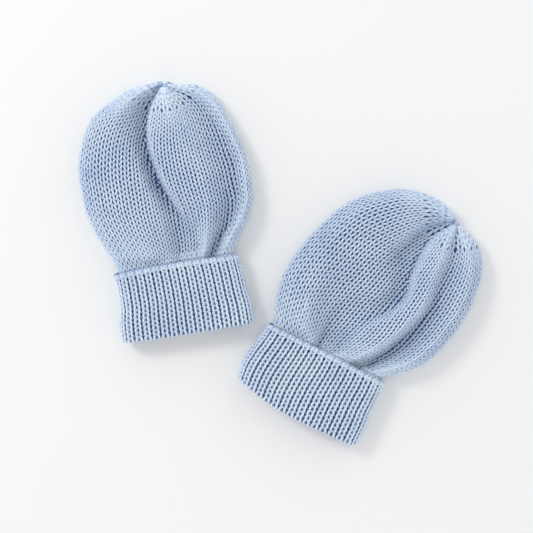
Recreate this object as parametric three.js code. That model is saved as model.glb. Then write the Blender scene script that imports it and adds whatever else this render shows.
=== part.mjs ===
// A pair of newborn scratch mittens, knitted in light blue yarn and laid flat on a table.
// Each mitten is a gathered pouch for the hand and a ribbed cuff, turned up over its mouth.
// Millimetres. The table is z = 0, +X runs to the right and +Y away from the viewer.

import * as THREE from 'three';

// Knit

const HAND_WALL = 1.4;
const CUFF_LAYER = 1.1;
const RIB_HEIGHT = 0.5;
const SEAM_GAP = 0.3;

// Turned-up cuff, seen from its side edge

const CUFF_THICKNESS = 11.2;
const CUFF_INNER_FACE = RIB_HEIGHT + CUFF_LAYER;
const LINING_OUTER_FACE = CUFF_INNER_FACE + SEAM_GAP;
const LINING_INNER_FACE = LINING_OUTER_FACE + CUFF_LAYER;
const FOLD_RADIUS = LINING_INNER_FACE / 2;
const FOLD_STEPS = 4;
const CORNER_RADIUS = 4.6;

// The channels between the ribs run round this share of the half turn at the fold

const CHANNEL_SHARE = 0.6;

// Heights up the cuff, 0 at the fold and 1 at the free edge, at which each face is drawn

const OUTER_FACE_HEIGHTS = [0.33, 0.67, 1];
const INNER_FACE_HEIGHTS = [1, 0.5, 0.1];
const LINING_HEIGHTS = [0.1, 0.45, 0.8];

// Ribs over the top and the sides of a cuff, and the plain underside between them

const RIBS_SHOWN = 17;
const RIB_PROFILE = [
  { across: 0.0, raised: 0 },
  { across: 0.2, raised: 1 },
  { across: 0.6, raised: 1 },
  { across: 0.8, raised: 0 },
];
const UNDERSIDE_TURN_POINTS = 4;
const UNDERSIDE_FLAT_POINTS = 4;

// Hand pouch: how many points lie round one course of the knitting, and how many courses are drawn

const UNDER_TURN_POINTS = 4;
const UNDER_FLAT_POINTS = 12;
const POUCH_RINGS = 20;
const RING_CROWDING = 0.5;
const POLE_RADIUS = 5.0;
const SIDE_SHARE = 0.6;

// The pouch inside the cuff keeps this far off the cuff's outermost face, on every side

const TUCK = LINING_OUTER_FACE;
const CUFF_MIDDLE = CUFF_THICKNESS / 2;

// The pouch leaves the cuff's free edge here

const EDGE_PLACE = 0.01;

// Columns: at, the way along the pouch from the cuff's edge (0) to the gather (1);
// side, the height of its widest line; round, how far its side rounds in; under, the gap below it.

const POUCH_SIDES = [
  { at: -0.08, side: CUFF_MIDDLE, round: CUFF_MIDDLE - TUCK, under: TUCK },
  { at: EDGE_PLACE, side: CUFF_MIDDLE, round: CUFF_MIDDLE - TUCK, under: TUCK },
  { at: 0.1, side: 4.6, round: 5.5, under: 0 },
  { at: 0.45, side: 4.4, round: 7.0, under: 0 },
  { at: 0.8, side: 4.2, round: 6.0, under: 0 },
  { at: 1.0, side: 5.5, round: 5.5, under: 0 },
];

// The six places along a pouch where its folds are given

const FOLD_PLACES = [
  { name: 'cuff', at: 0.05 },
  { name: 'low', at: 0.2 },
  { name: 'middle', at: 0.45 },
  { name: 'high', at: 0.7 },
  { name: 'crown', at: 0.9 },
  { name: 'tip', at: 1.0 },
];

// A fold row gives its place across the pouch, -1 at the left edge and 1 at the right,
// and its height over the table, each at the six places from the cuff to the tip.
// points is how many steps are drawn from this fold to the next.

const mittens = [
  {
    name: 'left',
    turn: 8.7,
    origin: { x: -42.2, y: -31.06 },
    gather: { x: 6.7, y: 112.5 },
    spineStart: { x: 0, y: 32.6 },
    cuff: {
      edgeLeft: 31.4,
      edgeMiddle: 32.6,
      edgeRight: 31.8,
      foldLeft: -0.8,
      foldMiddle: -1.3,
      foldRight: -0.8,
      sides: [
        { up: 0.0, left: -29.9, right: 31.3 },
        { up: 0.25, left: -29.4, right: 31.0 },
        { up: 0.5, left: -28.2, right: 29.9 },
        { up: 0.75, left: -28.2, right: 29.3 },
        { up: 1.0, left: -28.6, right: 28.3 },
      ],
    },
    outline: [
      { at: -0.077, leftX: -26.4, leftY: 26.3, rightX: 26.6, rightY: 26.3 },
      { at: EDGE_PLACE, leftX: -26.6, leftY: 33.2, rightX: 26.3, rightY: 32.9 },
      { at: 0.02, leftX: -27.6, leftY: 35.4, rightX: 27.3, rightY: 34.4 },
      { at: 0.08, leftX: -30.4, leftY: 41.7, rightX: 30.4, rightY: 39.7 },
      { at: 0.18, leftX: -34.6, leftY: 51.8, rightX: 35.9, rightY: 48.1 },
      { at: 0.3, leftX: -37.5, leftY: 64.7, rightX: 39.5, rightY: 59.6 },
      { at: 0.42, leftX: -37.6, leftY: 78.0, rightX: 39.4, rightY: 71.7 },
      { at: 0.54, leftX: -34.5, leftY: 90.8, rightX: 36.7, rightY: 83.5 },
      { at: 0.66, leftX: -27.8, leftY: 102.2, rightX: 32.8, rightY: 95.0 },
      { at: 0.77, leftX: -17.7, leftY: 108.9, rightX: 27.9, rightY: 104.9 },
      { at: 0.87, leftX: -7.4, leftY: 112.7, rightX: 19.6, rightY: 110.4 },
      { at: 0.95, leftX: 1.4, leftY: 113.7, rightX: 11.6, rightY: 111.3 },
      { at: 1.0, leftX: 6.7, leftY: 112.5, rightX: 6.7, rightY: 112.5 },
    ],
    folds: [
      {
        name: 'left edge',
        points: 8,
        across: [-1, -1, -1, -1, -1, -1],
        height: [9.0, 10.0, 10.5, 10.0, 8.5, 6.5],
      },
      {
        name: 'left lobe',
        points: 5,
        across: [-0.45, -0.5, -0.6, -0.78, -0.84, -0.84],
        height: [12.5, 14.8, 15.6, 14.6, 11.6, 7.0],
      },
      {
        name: 'left shoulder',
        points: 6,
        across: [-0.12, -0.16, -0.32, -0.52, -0.62, -0.62],
        height: [9.6, 12.0, 13.0, 7.8, 5.8, 6.0],
      },
      {
        name: 'deep valley',
        points: 5,
        across: [0.1, 0.07, -0.15, -0.35, -0.46, -0.46],
        height: [5.2, 5.8, 4.6, 3.6, 4.4, 6.0],
      },
      {
        name: 'ridge shoulder',
        points: 5,
        across: [0.32, 0.2, -0.06, -0.26, -0.37, -0.37],
        height: [6.2, 8.4, 12.4, 12.6, 9.4, 6.4],
      },
      {
        name: 'ridge',
        points: 5,
        across: [0.48, 0.42, 0.36, 0.14, 0.06, 0.06],
        height: [11.2, 13.4, 14.4, 14.2, 11.2, 7.0],
      },
      {
        name: 'right valley',
        points: 4,
        across: [0.62, 0.71, 0.76, 0.72, 0.67, 0.67],
        height: [4.0, 5.0, 6.2, 6.0, 6.4, 6.2],
      },
      {
        name: 'right roll',
        points: 6,
        across: [0.82, 0.91, 0.94, 0.93, 0.88, 0.88],
        height: [10.6, 12.0, 12.2, 11.8, 9.6, 6.8],
      },
      {
        name: 'right edge',
        points: 0,
        across: [1, 1, 1, 1, 1, 1],
        height: [8.6, 9.6, 10.0, 9.6, 8.0, 6.4],
      },
    ],
  },
  {
    name: 'right',
    turn: -27.2,
    origin: { x: 5.02, y: -69.73 },
    gather: { x: 25.4, y: 112.9 },
    spineStart: { x: 0, y: 34.5 },
    cuff: {
      edgeLeft: 34.2,
      edgeMiddle: 34.6,
      edgeRight: 34.1,
      foldLeft: 5.4,
      foldMiddle: 0.0,
      foldRight: 1.3,
      sides: [
        { up: 0.0, left: -31.4, right: 31.4 },
        { up: 0.25, left: -32.1, right: 31.2 },
        { up: 0.5, left: -31.3, right: 30.5 },
        { up: 0.75, left: -30.0, right: 30.3 },
        { up: 1.0, left: -29.1, right: 29.7 },
      ],
    },
    outline: [
      { at: -0.08, leftX: -27.4, leftY: 29.3, rightX: 27.9, rightY: 28.4 },
      { at: EDGE_PLACE, leftX: -27.0, leftY: 35.4, rightX: 27.7, rightY: 35.2 },
      { at: 0.02, leftX: -28.8, leftY: 38.2, rightX: 30.1, rightY: 36.4 },
      { at: 0.08, leftX: -31.3, leftY: 45.1, rightX: 34.5, rightY: 40.3 },
      { at: 0.18, leftX: -33.5, leftY: 57.0, rightX: 41.0, rightY: 47.4 },
      { at: 0.3, leftX: -32.0, leftY: 71.5, rightX: 45.6, rightY: 57.9 },
      { at: 0.42, leftX: -28.1, leftY: 85.6, rightX: 48.3, rightY: 69.2 },
      { at: 0.54, leftX: -22.1, leftY: 98.8, rightX: 49.3, rightY: 80.8 },
      { at: 0.66, leftX: -12.1, leftY: 109.2, rightX: 47.9, rightY: 92.3 },
      { at: 0.77, leftX: -0.7, leftY: 116.1, rightX: 44.4, rightY: 102.3 },
      { at: 0.87, leftX: 11.2, leftY: 118.2, rightX: 37.4, rightY: 108.9 },
      { at: 0.95, leftX: 20.6, leftY: 116.4, rightX: 30.1, rightY: 111.4 },
      { at: 1.0, leftX: 25.4, leftY: 112.9, rightX: 25.4, rightY: 112.9 },
    ],
    folds: [
      {
        name: 'left edge',
        points: 8,
        across: [-1, -1, -1, -1, -1, -1],
        height: [9.0, 9.6, 10.0, 10.0, 8.5, 6.5],
      },
      {
        name: 'left rim',
        points: 6,
        across: [-0.52, -0.66, -0.82, -0.9, -0.86, -0.86],
        height: [12.5, 15.0, 15.2, 14.2, 11.6, 7.0],
      },
      {
        name: 'basin',
        points: 5,
        across: [-0.3, -0.38, -0.34, -0.43, -0.55, -0.55],
        height: [8.6, 9.2, 10.6, 10.4, 7.8, 6.4],
      },
      {
        name: 'basin floor',
        points: 3,
        across: [-0.16, -0.2, -0.06, -0.24, -0.37, -0.37],
        height: [3.8, 6.0, 8.6, 4.2, 4.4, 6.0],
      },
      {
        name: 'steep valley',
        points: 4,
        across: [0.04, 0.0, 0.18, -0.04, -0.2, -0.2],
        height: [4.6, 7.6, 4.6, 3.4, 4.0, 6.0],
      },
      {
        name: 'ridge shoulder',
        points: 4,
        across: [0.2, 0.15, 0.27, 0.06, -0.11, -0.11],
        height: [9.2, 11.4, 12.4, 12.2, 9.0, 6.4],
      },
      {
        name: 'ridge',
        points: 5,
        across: [0.38, 0.4, 0.42, 0.28, 0.22, 0.22],
        height: [11.0, 13.8, 14.8, 14.4, 11.2, 7.0],
      },
      {
        name: 'right valley',
        points: 4,
        across: [0.6, 0.56, 0.56, 0.52, 0.5, 0.5],
        height: [3.8, 4.6, 7.8, 9.0, 8.2, 6.4],
      },
      {
        name: 'right lobe',
        points: 5,
        across: [0.78, 0.81, 0.81, 0.79, 0.75, 0.75],
        height: [10.6, 12.8, 13.2, 12.8, 10.4, 6.8],
      },
      {
        name: 'right edge',
        points: 0,
        across: [1, 1, 1, 1, 1, 1],
        height: [8.6, 9.8, 10.2, 10.0, 8.4, 6.4],
      },
    ],
  },
];

const clamp = THREE.MathUtils.clamp;
const mix = THREE.MathUtils.lerp;

// Smooth curve through (xs, ys) that never overshoots a ridge or a valley

function softCurve(xs, ys) {
  const count = xs.length;
  const steps = [];
  for (let i = 0; i < count - 1; i++) {
    steps.push((ys[i + 1] - ys[i]) / (xs[i + 1] - xs[i]));
  }
  const slopes = xs.map((_, i) => {
    if (i === 0) return steps[0];
    if (i === count - 1) return steps[count - 2];
    const before = steps[i - 1];
    const after = steps[i];
    if (before * after <= 0) return 0;
    return (2 * before * after) / (before + after);
  });
  return (x) => {
    const inside = clamp(x, xs[0], xs[count - 1]);
    let i = 0;
    while (i < count - 2 && inside > xs[i + 1]) i++;
    const width = xs[i + 1] - xs[i];
    const t = (inside - xs[i]) / width;
    const t2 = t * t;
    const t3 = t2 * t;
    return (
      ys[i] * (2 * t3 - 3 * t2 + 1) +
      slopes[i] * width * (t3 - 2 * t2 + t) +
      ys[i + 1] * (3 * t2 - 2 * t3) +
      slopes[i + 1] * width * (t3 - t2)
    );
  };
}

function columnCurve(rows, along, column) {
  return softCurve(rows.map((row) => row[along]), rows.map((row) => row[column]));
}

// Quarter circle: 0 at the side of a pouch, 1 where its top is reached

function sideRise(t) {
  const left = 1 - clamp(t, 0, 1);
  return Math.sqrt(1 - left * left);
}

// Hand pouch

function pouchShape(mitten) {
  const rows = mitten.outline;
  const leftX = columnCurve(rows, 'at', 'leftX');
  const leftY = columnCurve(rows, 'at', 'leftY');
  const rightX = columnCurve(rows, 'at', 'rightX');
  const rightY = columnCurve(rows, 'at', 'rightY');
  const side = columnCurve(POUCH_SIDES, 'at', 'side');
  const round = columnCurve(POUCH_SIDES, 'at', 'round');
  const under = columnCurve(POUCH_SIDES, 'at', 'under');
  const places = FOLD_PLACES.map((place) => place.at);
  const folds = mitten.folds.map((fold) => ({
    points: fold.points,
    across: softCurve(places, fold.across),
    height: softCurve([EDGE_PLACE, ...places], [CUFF_THICKNESS - TUCK, ...fold.height]),
  }));

  function plan(at, across) {
    const share = (1 + across) / 2;
    const chordX = mix(leftX(at), rightX(at), share);
    const chordY = mix(leftY(at), rightY(at), share);
    const spineX = mix(mitten.spineStart.x, mitten.gather.x, at);
    const spineY = mix(mitten.spineStart.y, mitten.gather.y, at);
    const bulge = 1 - across * across;
    return {
      x: chordX + (spineX - mix(leftX(at), rightX(at), 0.5)) * bulge,
      y: chordY + (spineY - mix(leftY(at), rightY(at), 0.5)) * bulge,
    };
  }

  // Half the length of the course that crosses the pouch at this place
  function reach(at) {
    const steps = 12;
    let length = 0;
    let last = plan(at, -1);
    for (let i = 1; i <= steps; i++) {
      const next = plan(at, -1 + (2 * i) / steps);
      length += Math.hypot(next.x - last.x, next.y - last.y);
      last = next;
    }
    return length / 2;
  }

  // One course of the knitting, over the top from left to right and back along the underside
  function ring(at) {
    const half = reach(at);
    const rounding = Math.min(round(at), SIDE_SHARE * half);
    const closing = sideRise(half / POLE_RADIUS);
    const middle = side(at);
    const lowest = under(at);
    const marks = folds.map((fold) => fold.across(at));
    const top = softCurve(
      marks,
      folds.map((fold) => fold.height(at)),
    );
    const points = [];
    const add = (across, onTop) => {
      const spot = plan(at, across);
      const rise = sideRise(((1 - Math.abs(across)) * half) / rounding) * closing;
      const goal = onTop ? top(across) : lowest;
      points.push(new THREE.Vector3(spot.x, spot.y, middle + (goal - middle) * rise));
    };
    const lastFold = marks.length - 1;
    for (let k = 0; k < lastFold; k++) {
      for (let i = 0; i < folds[k].points; i++) {
        let share = i / folds[k].points;
        if (k === 0) share = 1 - Math.cos((share * Math.PI) / 2);
        if (k === lastFold - 1) share = Math.sin((share * Math.PI) / 2);
        add(mix(marks[k], marks[k + 1], share), true);
      }
    }
    const turn = rounding / half;
    const turnAcross = (i) => 1 - turn * (1 - Math.cos(((i / UNDER_TURN_POINTS) * Math.PI) / 2));
    for (let i = 0; i < UNDER_TURN_POINTS; i++) add(turnAcross(i), false);
    for (let i = 0; i < UNDER_FLAT_POINTS; i++) {
      add(mix(1 - turn, turn - 1, i / UNDER_FLAT_POINTS), false);
    }
    for (let i = UNDER_TURN_POINTS; i > 0; i--) add(-turnAcross(i), false);
    return points;
  }

  return { ring };
}

// Places of the drawn courses: one inside the cuff, then closer together at the cuff and the gather

function ringPlaces(start) {
  const places = [start];
  for (let i = 0; i < POUCH_RINGS - 1; i++) {
    const t = i / (POUCH_RINGS - 1);
    const eased = t - (RING_CROWDING * Math.sin(2 * Math.PI * t)) / (2 * Math.PI);
    places.push(mix(EDGE_PLACE, 1, eased));
  }
  return places;
}

// Moves every point of a skin inwards, square to it

function insideOf(rings, pole, depth) {
  const count = rings[0].length;
  const along = new THREE.Vector3();
  const round = new THREE.Vector3();
  const inner = rings.map((ring, r) =>
    ring.map((point, i) => {
      const ahead = r + 1 < rings.length ? rings[r + 1][i] : pole;
      const behind = r > 0 ? rings[r - 1][i] : point;
      along.subVectors(ahead, behind);
      round.subVectors(ring[(i + 1) % count], ring[(i + count - 1) % count]);
      const outward = new THREE.Vector3().crossVectors(round, along).normalize();
      if (r === 0) outward.setY(0).normalize();
      return point.clone().addScaledVector(outward, -depth);
    }),
  );
  const last = rings[rings.length - 1];
  const centre = new THREE.Vector3();
  last.forEach((point) => centre.addScaledVector(point, 1 / count));
  const inward = centre.sub(pole).setZ(0).normalize();
  return { rings: inner, pole: pole.clone().addScaledVector(inward, depth) };
}

// Skins a list of loops with as many points each. The list closes on itself,
// or else its first and last loops are closed with a point each.

function skin(loops, poles) {
  const count = loops[0].length;
  const positions = loops.flat().flatMap((point) => [point.x, point.y, point.z]);
  const faces = [];
  const joins = poles ? loops.length - 1 : loops.length;
  for (let r = 0; r < joins; r++) {
    const here = r * count;
    const next = ((r + 1) % loops.length) * count;
    for (let i = 0; i < count; i++) {
      const j = (i + 1) % count;
      faces.push(here + i, here + j, next + j);
      faces.push(here + i, next + j, next + i);
    }
  }
  if (poles) {
    const first = loops.length * count;
    poles.forEach((pole) => positions.push(pole.x, pole.y, pole.z));
    const lastLoop = (loops.length - 1) * count;
    for (let i = 0; i < count; i++) {
      const j = (i + 1) % count;
      faces.push(first, j, i);
      faces.push(first + 1, lastLoop + i, lastLoop + j);
    }
  }
  const geometry = new THREE.BufferGeometry();
  geometry.setAttribute('position', new THREE.Float32BufferAttribute(positions, 3));
  geometry.setIndex(faces);
  geometry.computeVertexNormals();
  return geometry;
}

function handGeometry(mitten) {
  const shape = pouchShape(mitten);
  const rings = ringPlaces(mitten.outline[0].at).map((at) => shape.ring(at));
  const tip = POUCH_SIDES[POUCH_SIDES.length - 1].side;
  const pole = new THREE.Vector3(mitten.gather.x, mitten.gather.y, tip);
  const inside = insideOf(rings, pole, HAND_WALL);
  const loops = [...inside.rings].reverse().concat(rings);
  return skin(loops, [inside.pole, pole]);
}

// Cuff

function cuffShape(cuff) {
  const left = columnCurve(cuff.sides, 'up', 'left');
  const right = columnCurve(cuff.sides, 'up', 'right');

  // Line across the cuff, given at its two sides and its middle
  function bow(atLeft, atMiddle, atRight, share) {
    const away = 2 * share - 1;
    return mix(atMiddle, away < 0 ? atLeft : atRight, away * away);
  }

  function corner(fromSide) {
    const t = clamp(1 - fromSide / CORNER_RADIUS, 0, 1);
    return CORNER_RADIUS * (1 - Math.sqrt(1 - t * t));
  }

  // One loop round the flattened tube, this far inside its outermost face.
  // up is 0 at the fold and 1 at the free edge; lift moves it off that line, and ribs is 0 to 1.
  function loop({ up, inset, lift = 0, ribs = 0, ribsAlong = 0 }) {
    const x0 = left(up);
    const x1 = right(up);
    const half = CUFF_MIDDLE;
    const flat = x1 - x0 - 2 * half;
    const quarter = (Math.PI * half) / 2;
    const total = flat + 2 * quarter;
    const points = [];
    const add = (share, onTop, raised) => {
      const channel = 1 - raised;
      const radius = half - inset - channel * RIB_HEIGHT * ribs;
      const arc = share * total;
      let x = x0 + half + clamp(arc - quarter, 0, flat);
      let z = radius;
      if (arc < quarter) {
        const angle = arc / half;
        x -= radius * Math.cos(angle);
        z = radius * Math.sin(angle);
      } else if (arc > quarter + flat) {
        const angle = (total - arc) / half;
        x += radius * Math.cos(angle);
        z = radius * Math.sin(angle);
      }
      const place = clamp((x - x0) / (x1 - x0), 0, 1);
      const fromSide = Math.min(x - x0, x1 - x);
      const foldLine =
        bow(cuff.foldLeft, cuff.foldMiddle, cuff.foldRight, place) + corner(fromSide);
      const edgeLine = bow(cuff.edgeLeft, cuff.edgeMiddle, cuff.edgeRight, place);
      const y = mix(foldLine, edgeLine, up) + lift + channel * RIB_HEIGHT * ribsAlong;
      points.push(new THREE.Vector3(x, y, half + (onTop ? z : -z)));
    };
    for (let rib = 0; rib < RIBS_SHOWN; rib++) {
      RIB_PROFILE.forEach((step) => {
        add((rib + step.across) / RIBS_SHOWN, true, step.raised);
      });
    }
    const turn = quarter / total;
    for (let i = 0; i < UNDERSIDE_TURN_POINTS; i++) {
      add(1 - (turn * i) / UNDERSIDE_TURN_POINTS, false, 1);
    }
    for (let i = 0; i < UNDERSIDE_FLAT_POINTS; i++) {
      add(mix(1 - turn, turn, i / UNDERSIDE_FLAT_POINTS), false, 1);
    }
    for (let i = 0; i < UNDERSIDE_TURN_POINTS; i++) {
      add(turn * (1 - i / UNDERSIDE_TURN_POINTS), false, 1);
    }
    return points;
  }

  return { loop };
}

function cuffGeometry(mitten) {
  const { loop } = cuffShape(mitten.cuff);
  const loops = [];
  const face = (heights, inset, ribs) => {
    heights.forEach((up) => loops.push(loop({ up, inset, ribs })));
  };
  face(OUTER_FACE_HEIGHTS, 0, 1);
  face(INNER_FACE_HEIGHTS, CUFF_INNER_FACE, 0);
  face(LINING_HEIGHTS, LINING_OUTER_FACE, 0);
  face(LINING_HEIGHTS.slice(1).reverse(), LINING_INNER_FACE, 0);
  for (let i = FOLD_STEPS; i >= 0; i--) {
    const angle = (i / FOLD_STEPS) * Math.PI;
    loops.push(
      loop({
        up: 0,
        inset: FOLD_RADIUS * (1 - Math.cos(angle)),
        lift: FOLD_RADIUS * (1 - Math.sin(angle)),
        ribs: Math.max(0, Math.cos(angle)),
        ribsAlong: angle < Math.PI * CHANNEL_SHARE ? Math.sin(angle) : 0,
      }),
    );
  }
  return skin(loops, null);
}

// Light blue knitted cotton and wool

function knit(name, geometry, color) {
  const material = new THREE.MeshStandardMaterial({ color, roughness: 0.95, metalness: 0 });
  const mesh = new THREE.Mesh(geometry, material);
  mesh.name = name;
  return mesh;
}

const pair = new THREE.Group();
mittens.forEach((mitten) => {
  const placed = new THREE.Group();
  placed.position.set(mitten.origin.x, mitten.origin.y, 0);
  placed.rotation.z = THREE.MathUtils.degToRad(mitten.turn);
  placed.add(knit(`${mitten.name}_hand`, handGeometry(mitten), 0xaec3e0));
  placed.add(knit(`${mitten.name}_cuff`, cuffGeometry(mitten), 0xa6bcdb));
  pair.add(placed);
});

export default pair;
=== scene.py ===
# %% [markdown]
# A pair of newborn scratch mittens, knitted in light blue yarn and laid flat on a table.
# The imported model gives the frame: four plain solids, a hand pouch and a turned-up cuff
# for each mitten. This script knits a real fabric over the same forms, loop by loop.

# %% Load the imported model
import math

import bpy
import numpy as np
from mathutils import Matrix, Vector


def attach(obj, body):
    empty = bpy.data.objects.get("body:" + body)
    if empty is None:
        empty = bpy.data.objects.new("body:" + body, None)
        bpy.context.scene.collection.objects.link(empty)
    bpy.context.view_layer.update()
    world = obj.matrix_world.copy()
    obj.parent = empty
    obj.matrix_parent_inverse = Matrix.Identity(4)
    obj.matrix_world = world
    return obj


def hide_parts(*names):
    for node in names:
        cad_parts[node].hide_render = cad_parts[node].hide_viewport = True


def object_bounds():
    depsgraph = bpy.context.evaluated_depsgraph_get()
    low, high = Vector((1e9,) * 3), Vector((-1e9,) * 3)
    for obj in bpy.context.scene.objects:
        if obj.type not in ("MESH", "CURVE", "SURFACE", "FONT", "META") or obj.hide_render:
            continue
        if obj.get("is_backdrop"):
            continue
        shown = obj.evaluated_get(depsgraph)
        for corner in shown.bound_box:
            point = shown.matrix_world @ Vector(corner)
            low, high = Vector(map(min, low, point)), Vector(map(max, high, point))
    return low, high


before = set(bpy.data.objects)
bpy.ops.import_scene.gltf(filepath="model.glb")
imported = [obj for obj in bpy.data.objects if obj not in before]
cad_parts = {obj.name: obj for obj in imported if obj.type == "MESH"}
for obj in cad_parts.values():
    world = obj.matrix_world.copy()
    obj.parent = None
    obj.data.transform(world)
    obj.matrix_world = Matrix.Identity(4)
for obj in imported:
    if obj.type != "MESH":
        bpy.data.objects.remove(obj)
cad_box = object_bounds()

MM = 0.001
print("nodes in the frame:", sorted(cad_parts))

# %% [markdown]
# Hand knitting is described by its gauge: how wide a stitch is and how high a row is.
# Everything that the needles would count is written here once, in millimetres, and the
# rest of the script works from it. Plain fabric is stocking stitch, the cuff is 1x1 rib.

# %% The gauge
YARN_RADIUS = 0.5
LOOP_DEPTH = 0.5
LOOPS_OVER_FORM = 0.05
FABRIC_DEPTH = YARN_RADIUS + LOOP_DEPTH - LOOPS_OVER_FORM
TABLE_GAP = 0.02

HAND_STITCHES = 52
HAND_ROUNDS = 36
CROWN_ROUNDS = 3
TIP_ROUNDS = 2
# share of a round's stitches that lie over the top
TOP_SHARE = 0.54

# places along the pouch, 0 at the cuff's edge and 1 at the gather
HAND_START = -0.05
CROWN_START = 0.84
TIP_START = 0.94
TIP_END = 0.975
STRING_END = 0.996
POUCH_END = 0.998

CUFF_STITCHES = 68
CUFF_ROUNDS = 15
LINING_ROUNDS = 13
# how far a cuff's layers lie inside its outermost face, and round which radius they fold
CUFF_INSET = 1.05
FOLD_RADIUS = 0.7
LINING_INSET = CUFF_INSET + 2 * FOLD_RADIUS
FOLD_LIFT = CUFF_INSET + FOLD_RADIUS
LINING_TOP = 0.8
print("stitches in a round:", HAND_STITCHES, "in a hand,", CUFF_STITCHES, "in a cuff")

# %% [markdown]
# The outline of each mitten, the heights of its folds and the sides of its cuff are the
# same short tables as in the part's source, so the knitting follows the solids. Only
# beside the cuff's edge does it dip lower than they do, by way of EDGE_LIFT. Each mitten
# has its own ruler: y runs up the cuff from its fold, x to the right, z up from the table.

# %% Measures of the pair
CUFF_THICKNESS = 11.2
TUCK = 1.9
CUFF_MIDDLE = CUFF_THICKNESS / 2
CORNER_RADIUS = 4.6
POLE_RADIUS = 5.0
SIDE_SHARE = 0.6
EDGE_PLACE = 0.01
# a fold lies this much higher at the cuff's edge than at its first place beyond it
EDGE_LIFT = 1.0

# at, height of the widest line, how far the side rounds in, gap under the pouch
POUCH_SIDES = [
    (-0.08, CUFF_MIDDLE, CUFF_MIDDLE - TUCK, TUCK),
    (EDGE_PLACE, CUFF_MIDDLE, CUFF_MIDDLE - TUCK, TUCK),
    (0.1, 4.6, 5.5, 0.0),
    (0.45, 4.4, 7.0, 0.0),
    (0.8, 4.2, 6.0, 0.0),
    (1.0, 5.5, 5.5, 0.0),
]

FOLD_PLACES = [0.05, 0.2, 0.45, 0.7, 0.9, 1.0]

LEFT = {
    "name": "left",
    "turn": 8.7,
    "origin": (-42.2, -31.06),
    "gather": (6.7, 112.5),
    "spine_start": (0.0, 32.6),
    "edge": (31.4, 32.6, 31.8),
    "fold": (-0.8, -1.3, -0.8),
    # up, left, right
    "sides": [
        (0.0, -29.9, 31.3),
        (0.25, -29.4, 31.0),
        (0.5, -28.2, 29.9),
        (0.75, -28.2, 29.3),
        (1.0, -28.6, 28.3),
    ],
    # at, left x, left y, right x, right y
    "outline": [
        (-0.077, -26.4, 26.3, 26.6, 26.3),
        (EDGE_PLACE, -26.6, 33.2, 26.3, 32.9),
        (0.02, -27.6, 35.4, 27.3, 34.4),
        (0.08, -30.4, 41.7, 30.4, 39.7),
        (0.18, -34.6, 51.8, 35.9, 48.1),
        (0.3, -37.5, 64.7, 39.5, 59.6),
        (0.42, -37.6, 78.0, 39.4, 71.7),
        (0.54, -34.5, 90.8, 36.7, 83.5),
        (0.66, -27.8, 102.2, 32.8, 95.0),
        (0.77, -17.7, 108.9, 27.9, 104.9),
        (0.87, -7.4, 112.7, 19.6, 110.4),
        (0.95, 1.4, 113.7, 11.6, 111.3),
        (1.0, 6.7, 112.5, 6.7, 112.5),
    ],
    # name, places across at the six fold places (-1 at the left edge, 1 at the right),
    # heights over the table there
    "folds": [
        ("left edge", (-1, -1, -1, -1, -1, -1),
         (9.0, 10.0, 10.5, 10.0, 8.5, 6.5)),
        ("left lobe", (-0.45, -0.5, -0.6, -0.78, -0.84, -0.84),
         (12.5, 14.8, 15.6, 14.6, 11.6, 7.0)),
        ("left shoulder", (-0.12, -0.16, -0.32, -0.52, -0.62, -0.62),
         (9.6, 12.0, 13.0, 7.8, 5.8, 6.0)),
        ("deep valley", (0.1, 0.07, -0.15, -0.35, -0.46, -0.46),
         (5.2, 5.8, 4.6, 3.6, 4.4, 6.0)),
        ("ridge shoulder", (0.32, 0.2, -0.06, -0.26, -0.37, -0.37),
         (6.2, 8.4, 12.4, 12.6, 9.4, 6.4)),
        ("ridge", (0.48, 0.42, 0.36, 0.14, 0.06, 0.06),
         (11.2, 13.4, 14.4, 14.2, 11.2, 7.0)),
        ("right valley", (0.62, 0.71, 0.76, 0.72, 0.67, 0.67),
         (4.0, 5.0, 6.2, 6.0, 6.4, 6.2)),
        ("right roll", (0.82, 0.91, 0.94, 0.93, 0.88, 0.88),
         (10.6, 12.0, 12.2, 11.8, 9.6, 6.8)),
        ("right edge", (1, 1, 1, 1, 1, 1),
         (8.6, 9.6, 10.0, 9.6, 8.0, 6.4)),
    ],
}

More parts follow.
